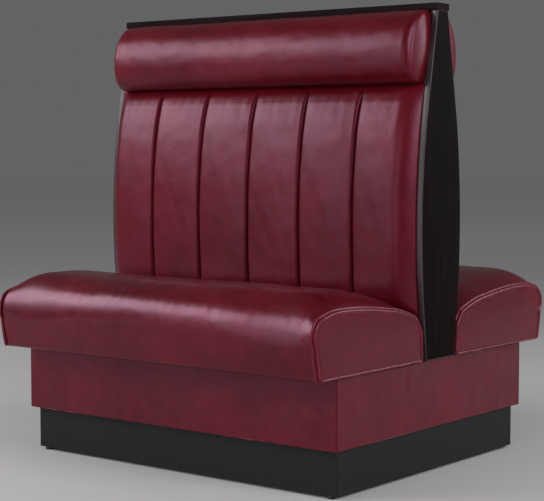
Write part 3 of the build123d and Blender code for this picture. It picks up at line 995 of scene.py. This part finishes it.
    def build(self) -> None:
        """Makes the pads, the rolls and the panels, and repaints the cap and the frame."""
        palette = self.palette
        for face in Face:
            word = face.word
            pad = shell(f"{word}_channelled_back", self.pad_grid(face), 60.0)
            dress(pad, palette.back_vinyl, "base", f"{word}_channel_pad")
            roll = shell(f"{word}_roll_cover", self.roll_grid(face), 60.0)
            dress(roll, palette.back_vinyl, "base", f"{word}_head_roll")
            repaint(palette.plywood, f"{word}_roll_batten", f"back_{word}_board")
        for end in End:
            panel = self.end_panel(end)
            dress(panel, palette.wood, "base", f"{end.word}_end_panel")
            # The panel's rim is painted paler, a painted highlight.
            paint_edge_highlight(panel, palette.edge_highlight_wood)
            repaint(palette.plywood, f"back_{end.word}_rib")
        repaint(palette.cap_wood, "top_cap")
        repaint(palette.plywood, "back_centre_rib", "back_bottom_rail", "back_top_rail")
        repaint(palette.zinc, "cap_screws", "end_panel_screws")


def eased_board(name: str, loop: Array, start: float, stop: float, ease: float) -> Thing:
    """A flat board of a convex outline, with its long edges eased in a quarter circle.

    Args:
        name: the piece's name.
        loop: (count, 2) outline, along Y and Z.
        start: one face's X.
        stop: the other face's X.
        ease: the edges' radius.

    Returns:
        The new board.
    """
    turn = np.linspace(0, np.pi / 2, 6)
    inset = ease * (1 - np.sin(turn))
    drop = ease * (1 - np.cos(turn))
    stations = np.concatenate((start + drop, stop - drop[::-1]))
    insets = np.concatenate((inset, inset[::-1]))
    before = directions(loop - np.roll(loop, 1, axis=0))
    after = directions(np.roll(loop, -1, axis=0) - loop)
    out = outward(before + after, loop)
    bend = ((after - before) ** 2).sum(axis=1, keepdims=True) / 4
    reach = 1 / np.maximum(np.sqrt(1 - bend), SHARPEST_REACH)
    rings = loop - insets[:, None, None] * (out * reach)
    return shell(name, join(stations[:, None], rings[..., 0], rings[..., 1]), 40.0)


def paint_edge_highlight(piece: Thing, material: Material) -> None:
    """Gives the faces that look along Y or Z, all round a board's rim, a second, paler material: a painted
    highlight for the light that the rim catches.

    Args:
        piece: the board.
        material: the rim's paler material, a painted highlight.
    """
    piece.data.materials.append(material)
    normals = np.empty(len(piece.data.polygons) * 3, np.float32)
    piece.data.polygons.foreach_get("normal", normals)
    rim = (np.abs(normals.reshape(-1, 3)[:, 0]) < FACING_X).astype(np.int32)
    piece.data.polygons.foreach_set("material_index", rim)


# Seats


@dataclass
class Seat:
    """One seat: a crowned cushion with a double welt round each end face and a hem below it.

    A row of section_shares is a point's shares of the depth and the end's height, then its shares of
    the bulge, the crown and the corner's pull.
    """

    palette: Palette
    face: Face
    bulge: float = 0.010
    crown: float = 0.043
    end_height: float = 0.163
    round_length: float = 0.155
    round_power: float = 3.2
    front_from: float = 0.72
    front_reach: float = 0.25
    front_round_length: float = 0.110
    front_power_cut: float = 0.6
    corner_dip: float = 0.0155
    corner_drop_share: float = 0.4
    corner_length: float = 0.100
    turn_under: float = 0.0045
    turn_height: float = 0.0065
    lip: float = 0.008
    skirt: float = 0.0078
    pocket: float = 0.063
    pocket_edge: float = 0.0001
    dome: float = 0.0021
    fade: float = 0.03
    calm_height: float = 0.012
    cushion_swells: Layers = ((0.0008, 0.26), (0.00026, 0.07))
    gather: float = 0.0004
    gather_pitch: float = 0.036
    gather_place: float = 0.97
    gather_width: float = 0.045
    gather_patch: float = 0.15
    first_ring: float = 0.0006
    end_rings: int = 14
    eye_shares: Pair = (0.5, 0.45)
    welt_drop: float = 0.0050
    welt_spread: float = 0.0110
    welt_rise: float = 0.01
    welt_inset: float = 0.0036
    ridge: float = 0.0037
    ridge_spacing: float = 0.0088
    sink: float = 0.0006
    groove_drop: float = 0.0004
    root: float = 0.003
    hem_radius: float = 0.0033
    hem_rings: int = 90
    hem_level: float = 0.0032
    hem_stand: float = 0.0010
    hem_setback: float = 0.004
    hem_sway: float = 0.0004
    hem_sway_rate: float = 60.0
    section_shares: tuple[Row, ...] = (
        (1, 0, 0, 0, 0), (1.0065, 0.07, 0.085, 0, 0), (1.032, 0.49, 0.6, 0, 0.15),
        (1.026, 0.822, 1, 0.15, 1), (0.987, 0.914, 0.5, 0.55, 0.9), (0.915, 0.966, 0, 0.85, 0.35),
        (0.774, 0.997, 0, 1, 0), (0.595, 0.978, 0, 1, 0), (0.371, 0.908, 0, 0.85, 0),
        (0.159, 0.8, 0, 0.45, 0), (0.047, 0.687, 0, 0.1, 0), (0.01, 0.49, 0, 0, 0))

    def __post_init__(self) -> None:
        """Takes the cushion's place from the CAD's cushion and frame."""
        low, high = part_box(f"{self.face.word}_seat_cushion")
        inner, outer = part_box(f"{self.face.word}_seat_frame")
        self.half_length = high.x
        self.bottom = low.z
        self.rear = min(abs(inner.y), abs(outer.y)) - self.lip
        self.depth = max(abs(inner.y), abs(outer.y)) + self.lip - self.rear

    def section(self, from_end: Array) -> Array:
        """The section's points from the front lower corner over the top to the rear lower corner.

        Bulge and crown rise from the end by a power of the distance that is left, sooner along the front
        edge than over the middle.  Just inside each end the front shoulder is drawn in and down, where
        the sewn corner pulls on it, by the distance from the end times an exponential fall.

        Args:
            from_end: each station's distance from the nearer end.

        Returns:
            (stations, 12, 2) points, outward and up.
        """
        out, up, bulge, crown, pulled = np.array(self.section_shares, float).T
        front = unit((out - self.front_from) / self.front_reach)
        length = self.round_length + front * (self.front_round_length - self.round_length)
        power = self.round_power - self.front_power_cut * front
        share = 1 - unit(1 - from_end[:, None] / length) ** power
        place = from_end[:, None] / self.corner_length
        pull = self.corner_dip * place * np.exp(1 - place) * pulled
        return join(self.rear + out * self.depth + bulge * self.bulge * share - pull,
                    self.bottom + up * self.end_height + crown * self.crown * share
                    - self.corner_drop_share * pull)

    def outline(self, from_end: Array, steps: int) -> Array:
        """The section's upper outline as arcs, closed down to the rear lower corner.

        Args:
            from_end: each station's distance from the nearer end.
            steps: the steps of each arc.

        Returns:
            (stations, places, 2) points, outward and up.
        """
        arcs = arcs_through(self.section(from_end), steps)
        share = np.linspace(0, 1, 12)[1:, None]
        foot = np.array((self.rear, self.bottom))
        return np.concatenate((arcs, arcs[:, -1:] * (1 - share) + foot * share), axis=1)

    def body_grid(self, stations: Array, from_end: Array) -> Array:
        """The cushion's rings between its end faces.

        A ring is the section's outline, the underside's skirt and the pocket over the frame.  The rim
        under the welt is drawn in, and the front's lower edge is turned under in a quarter circle.

        Args:
            stations: the rings' places along X.
            from_end: their distances from the nearer end.

        Returns:
            The (rings, sides, 3) grid.
        """
        outer = self.outline(from_end, 20)
        rim = self.welt_drop * unit(1 - from_end / self.welt_spread) ** 1.5
        inward = directions(outer.mean(axis=1, keepdims=True) - outer)
        outer = outer + inward * rim[:, None, None] * unit((outer[..., 1:] - self.bottom) / self.welt_rise)
        front_lip, rear_lip = outer[:, :1, 0] - self.skirt, self.rear + self.skirt
        roof = self.bottom + (from_end > self.skirt)[:, None] * self.pocket
        low = np.full_like(front_lip, self.bottom)
        floor = rear_lip + np.linspace(0, 1, 10) * (front_lip - rear_lip)
        ring = np.concatenate((outer, join(rear_lip, low), join(floor, roof), join(front_lip, low)), axis=1)
        body = join(stations[:, None], ring[..., 0], ring[..., 1])
        low_edge = shortfall(ring[..., 1] - self.bottom, self.turn_height)
        turned = self.turn_under * low_edge * unit(from_end / self.fade)[:, None]
        body[..., 1] -= turned * (np.arange(ring.shape[1]) < outer.shape[1] // 2)
        return body

    def enlivened(self, body: Array, from_end: Array) -> Array:
        """Gives the cushion soft swellings all over, and gathers along the front shoulder.

        Args:
            body: the (rings, sides, 3) grid.
            from_end: the rings' distances from the nearer end.

        Returns:
            The grid, moved along its normals.
        """
        top = unit((body[..., 2] - self.bottom - self.calm_height) / self.fade)
        calm = unit(from_end / self.fade)[:, None]
        seed = 41 + 5 * (1 + self.face.way)
        from_shoulder = body[..., 1] - (self.rear + self.gather_place * self.depth)
        shoulder = np.exp(-(from_shoulder / self.gather_width) ** 2) * top
        patchy = 0.6 + 0.4 * ripples(body, self.gather_patch, seed + 20)
        pulls = puckers(body[..., 0], self.gather_pitch, sway=3.0, sway_rate=11.0) * patchy
        lift = calm * top * (swells(body, self.cushion_swells, seed) + self.gather * shoulder * pulls)
        return body + lift[..., None] * outward_normals(body)

    def cushion_grid(self) -> Array:
        """The whole cushion as rings along X, with an end face at each end.

        Returns:
            The (rings, sides, 3) grid.
        """
        near = np.geomspace(self.first_ring, self.round_length * 1.25, 30)
        near = np.unique(np.append(near, self.skirt + self.pocket_edge * np.array((-1, 1))))
        stations = stations_between(-self.half_length, self.half_length, near, 84)
        from_end = self.half_length - np.abs(stations)
        body = self.enlivened(self.body_grid(stations, from_end), from_end)
        eye = (self.rear, self.bottom) + np.array(self.eye_shares) * (self.depth, self.end_height)
        grid = capped(body, self.half_length, eye, self.end_rings, crowding=1.2, dome=self.dome, bend=0.7)
        return grid * (1, self.face.way, 1)

    def double_welt_grid(self, end: End) -> Array:
        """The double welt as rings along the end face's outline.

        The profile is two round ridges side by side with a sewn groove between them, and it leans
        half way between the end face and the top.

        Args:
            end: the cushion's end.

        Returns:
            The (rings, sides, 3) grid.
        """
        line = self.outline(np.zeros(1), 24)[0]
        out = outward(np.gradient(line, axis=0), line)
        line = line - self.sink * out
        level = np.maximum(line[:, 1], self.bottom + self.ridge)
        path = join(end.way * (self.half_length - self.welt_inset), line[:, 0], level)
        turn = full_turn(44)
        spread = self.ridge_spacing / 2
        aside = np.sin(turn) * (spread + self.ridge)
        round_top = self.ridge * np.sqrt(unit(1 - ((np.abs(aside) - spread) / self.ridge) ** 2))
        height = np.where(np.cos(turn) > 0, round_top - self.groove_drop, -self.root)
        profile = join(height, aside) * round_off(len(line), share=0.02, size=0.25)[..., None]
        return carried(path, profile, join(end.way, out[:, 0], out[:, 1])) * (1, self.face.way, 1)

    def hem_grid(self, end: End) -> Array:
        """The end face's lower hem: a thin round cord from the front corner to the rear one.

        Args:
            end: the cushion's end.

        Returns:
            The (rings, sides, 3) grid.
        """
        places = np.linspace(self.rear + self.hem_setback, self.rear + self.depth - self.hem_setback,
                             self.hem_rings)
        path = join(end.way * (self.half_length + self.hem_stand), places,
                    self.bottom + self.hem_level + self.hem_sway * np.sin(places * self.hem_sway_rate))
        turn = full_turn(16)
        scale = self.hem_radius * round_off(self.hem_rings, share=0.012, size=0.3)
        profile = join(np.cos(turn), np.sin(turn)) * scale[..., None]
        return carried(path, profile, np.array((float(end.way), 0, 0))) * (1, self.face.way, 1)

    def build(self) -> None:
        """Makes the cushion, its welts and hems, and repaints what it holds."""
        palette, word, body = self.palette, self.face.word, f"{self.face.word}_seat"
        cushion = shell(f"{word}_seat_upholstery", self.cushion_grid(), 55.0)
        dress(cushion, palette.vinyl, body, f"{word}_seat_cushion")
        for end in End:
            # The welts and hems take the paler welt vinyl, a painted highlight.
            welt = shell(f"{word}_{end.word}_double_welt", self.double_welt_grid(end))
            dress(welt, palette.welt, body)
            hem = shell(f"{word}_{end.word}_hem", self.hem_grid(end))
            dress(hem, palette.welt, body)
        repaint(palette.plywood, f"{word}_seat_frame")
        repaint(palette.zinc, f"{word}_seat_springs", f"{word}_spring_clips")
        repaint(palette.felt, f"{word}_insulator")
        repaint(palette.lining, f"{word}_dust_cover")


# Seat box and plinth


@dataclass
class SeatBox:
    """The seat box: a vinyl wrap on each side, seamed at the corners, over its boards."""

    palette: Palette
    edge_radius: float = 0.0014
    corner_reach: float = 0.0028
    corner_drop: float = 0.0026
    step: float = 0.007
    near: Row = (0.0, 0.0004, 0.0012, 0.0028, 0.006, 0.012)
    skin: float = 0.002
    backing_gap: float = 0.0002
    calm: float = 0.02
    slack: Layers = ((0.0007, 0.24), (0.0003, 0.06))
    settled: float = 0.0006
    pull: float = 0.0003
    pull_pitch: float = 0.045
    pull_patch: float = 0.3

    def wrap_grid(self, low: Vector, high: Vector, along: int, seed: int) -> Array:
        """One side's wrap as rings along its length.

        A ring is the cover's thin section with rounded edges, and the outer face is moved by waves: long
        ones, and upright pulls that fade towards the lower edge.

        Args:
            low: the CAD cover's lowest corner.
            high: its highest corner.
            along: the axis of its length, 0 for X and 1 for Y.
            seed: the number that its waves are drawn from.

        Returns:
            The (rings, sides, 3) grid.
        """
        across = 1 - along
        way = 1 if low[across] + high[across] > 0 else -1
        inner, outer = sorted((abs(low[across]), abs(high[across])))
        r = self.edge_radius
        turn = np.linspace(0, np.pi / 2, 5)
        lower = join(outer - r + r * np.sin(turn), low.z + r - r * np.cos(turn))
        face = np.linspace((outer, low.z + r), (outer, high.z - r), 46)[1:-1]
        upper = join(outer - r + r * np.cos(turn), high.z - r + r * np.sin(turn))
        inside = inner + self.backing_gap
        backing = np.linspace((inside, high.z), (inside, low.z), 6)
        ring = np.concatenate((lower, face, upper, backing))
        start, stop = low[along], high[along]
        count = round((stop - start) / self.step)
        stations = stations_between(start, stop, self.near, count)[:, None]
        from_end = np.minimum(stations - start, stop - stations)
        corner = self.corner_drop * shortfall(from_end, self.corner_reach)
        grid = np.zeros((len(stations), len(ring), 3))
        grid[..., along] = stations
        grid[..., across] = ring[:, 0] - corner * (ring[:, 0] > outer - self.skin)
        grid[..., 2] = ring[:, 1]
        outside = unit((grid[..., across] - outer + r) / r) * unit(from_end / self.calm)
        height = (grid[..., 2] - low.z) / (high.z - low.z)
        pulls = (puckers(grid[..., along], self.pull_pitch, sway=2.5, sway_rate=8.0)
                 * unit(ripples(grid, self.pull_patch, seed + 2)) * height)
        slack = swells(grid, self.slack, seed, seed_step=1)
        grid[..., across] += outside * (slack + self.pull * pulls - self.settled)
        grid[..., across] *= way
        return grid

    def build(self) -> None:
        """Makes the four wraps and repaints the boards."""
        for number, side in enumerate((*Face, *End)):
            low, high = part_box(f"box_{side.word}_cover")
            grid = self.wrap_grid(low, high, int(side in End), 70 + 5 * number)
            wrap = shell(f"box_{side.word}_wrap", grid)
            dress(wrap, self.palette.vinyl, "base", f"box_{side.word}_cover")
            repaint(self.palette.plywood, f"box_{side.word}_board")
        repaint(self.palette.plywood, "box_floor", "box_left_rib", "box_right_rib")
        repaint(self.palette.lining, "grip_strips")


@dataclass
class Plinth:
    """The recessed plinth on its four glides."""

    palette: Palette

    def build(self) -> None:
        """Repaints the boards, the blocks and the glides."""
        repaint(self.palette.laminate, *(f"plinth_{side.word}_board" for side in (*Face, *End)))
        repaint(self.palette.plywood, "plinth_centre_rail", "plinth_corner_blocks")
        repaint(self.palette.brass, "glide_inserts")
        for face in Face:
            for end in End:
                repaint(self.palette.zinc, f"glide_stem_{face.word}_{end.word}")
                repaint(self.palette.plastic, f"glide_pad_{face.word}_{end.word}")


# Studio


@dataclass
class Softbox:
    """A soft rectangular light that faces the booth and isn't itself seen."""

    name: str
    place: Triple
    aim: Triple
    width: float
    height: float
    brightness: float

    def stand(self) -> None:
        """Puts the light up; its power is its brightness times pi times its area."""
        data = bpy.data.lights.new(self.name, "AREA")
        data.shape = "RECTANGLE"
        data.size, data.size_y = self.width, self.height
        data.energy = self.brightness * math.pi * self.width * self.height
        light = bpy.data.objects.new(self.name, data)
        light.location = self.place
        light.rotation_euler = (Vector(self.aim) - Vector(self.place)).to_track_quat("-Z", "Y").to_euler()
        light.visible_camera = False
        bpy.context.scene.collection.objects.link(light)


@dataclass
class Studio:
    """The pale floor, the soft lights and the camera at the photograph's angle."""

    floor_radii: Row = (0.02, 1.0, 3.0, 8.0, 30.0)
    # The floor's third colour is painted light for its distant part.
    floor_finish: StudioFloor = StudioFloor("pale_floor", (0.58, 0.576, 0.572), (0.62, 0.616, 0.612),
                                            (0.97, 0.97, 0.975))
    sky: Triple = (0.125, 0.125, 0.128)
    camera_place: Triple = (2.668, -3.399, 0.863)
    camera_azimuth: float = 38.28
    camera_pitch: float = 4.01
    lens: float = 102.1
    sensor: float = 36.0
    boxes: tuple[Softbox, ...] = (
        Softbox("window_light", (-3.05, -2.8, 2.70), (0.0, 0.0, 0.75), 3.5, 1.7, 6.5),
        Softbox("window_glow", (-3.15, -2.9, 2.25), (0.0, 0.0, 0.75), 3.6, 2.5, 0.8),
        Softbox("wall_light", (-2.25, -4.6, 1.0), (0.0, 0.0, 0.75), 1.5, 1.7, 2.2),
        Softbox("side_light", (4.3, -0.6, 2.3), (0.2, 0.0, 0.5), 1.8, 2.0, 9.0),
        Softbox("front_light", (0.75, -5.0, 1.45), (0.4, 0.0, 0.7), 4.8, 2.4, 1.05),
        Softbox("strip_light", (1.25, -4.9, 1.05), (0.4, 0.0, 0.7), 0.5, 1.5, 4.0),
        Softbox("back_light", (3.05, 3.1, 1.95), (0.4, 0.0, 1.0), 1.9, 1.7, 6.0),
    )

    def lay_floor(self) -> None:
        """Lays the floor as rings about the booth's middle."""
        turn = full_turn(96)
        radius = np.array(self.floor_radii)[:, None]
        rings = join(radius * np.cos(turn), radius * np.sin(turn), 0.0)
        quads, ends = tube_faces(*rings.shape[:2])
        floor = make_piece("studio_floor", rings.reshape(-1, 3), [quads, ends[:1]], 50.0)
        floor.data.materials.append(self.floor_finish.material())

    def light_room(self) -> None:
        """Fills the room with a faint even light and puts up the soft lights."""
        world = bpy.data.worlds.new("studio_air")
        world.use_nodes = True
        background = world.node_tree.nodes["Background"]
        background.inputs["Color"].default_value = (*self.sky, 1.0)
        background.inputs["Strength"].default_value = 1.0
        bpy.context.scene.world = world
        bpy.context.scene.view_settings.view_transform = "Standard"
        for box in self.boxes:
            box.stand()

    def set_camera(self) -> None:
        """Puts the camera where the photograph was taken from."""
        azimuth, pitch = math.radians(self.camera_azimuth), math.radians(self.camera_pitch)
        ahead = Vector((-math.sin(azimuth) * math.cos(pitch), math.cos(azimuth) * math.cos(pitch),
                        -math.sin(pitch)))
        data = bpy.data.cameras.new("photo_camera")
        data.lens, data.sensor_width = self.lens, self.sensor
        camera = bpy.data.objects.new("photo_camera", data)
        camera.location = self.camera_place
        camera.rotation_euler = ahead.to_track_quat("-Z", "Y").to_euler()
        bpy.context.scene.collection.objects.link(camera)
        bpy.context.scene.camera = camera

    def build(self) -> None:
        """Lays the floor, lights the room and sets the camera."""
        self.lay_floor()
        self.light_room()
        self.set_camera()


def main() -> None:
    """Builds the booth's sub-assemblies in order, then the studio."""
    logging.basicConfig(level=logging.INFO, format="%(name)s: %(message)s")
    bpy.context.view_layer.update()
    palette = Palette()
    Plinth(palette).build()
    SeatBox(palette).build()
    Back(palette).build()
    for face in Face:
        Seat(palette, face).build()
    Studio().build()
    bpy.context.view_layer.update()


if __name__ == "__main__":
    main()
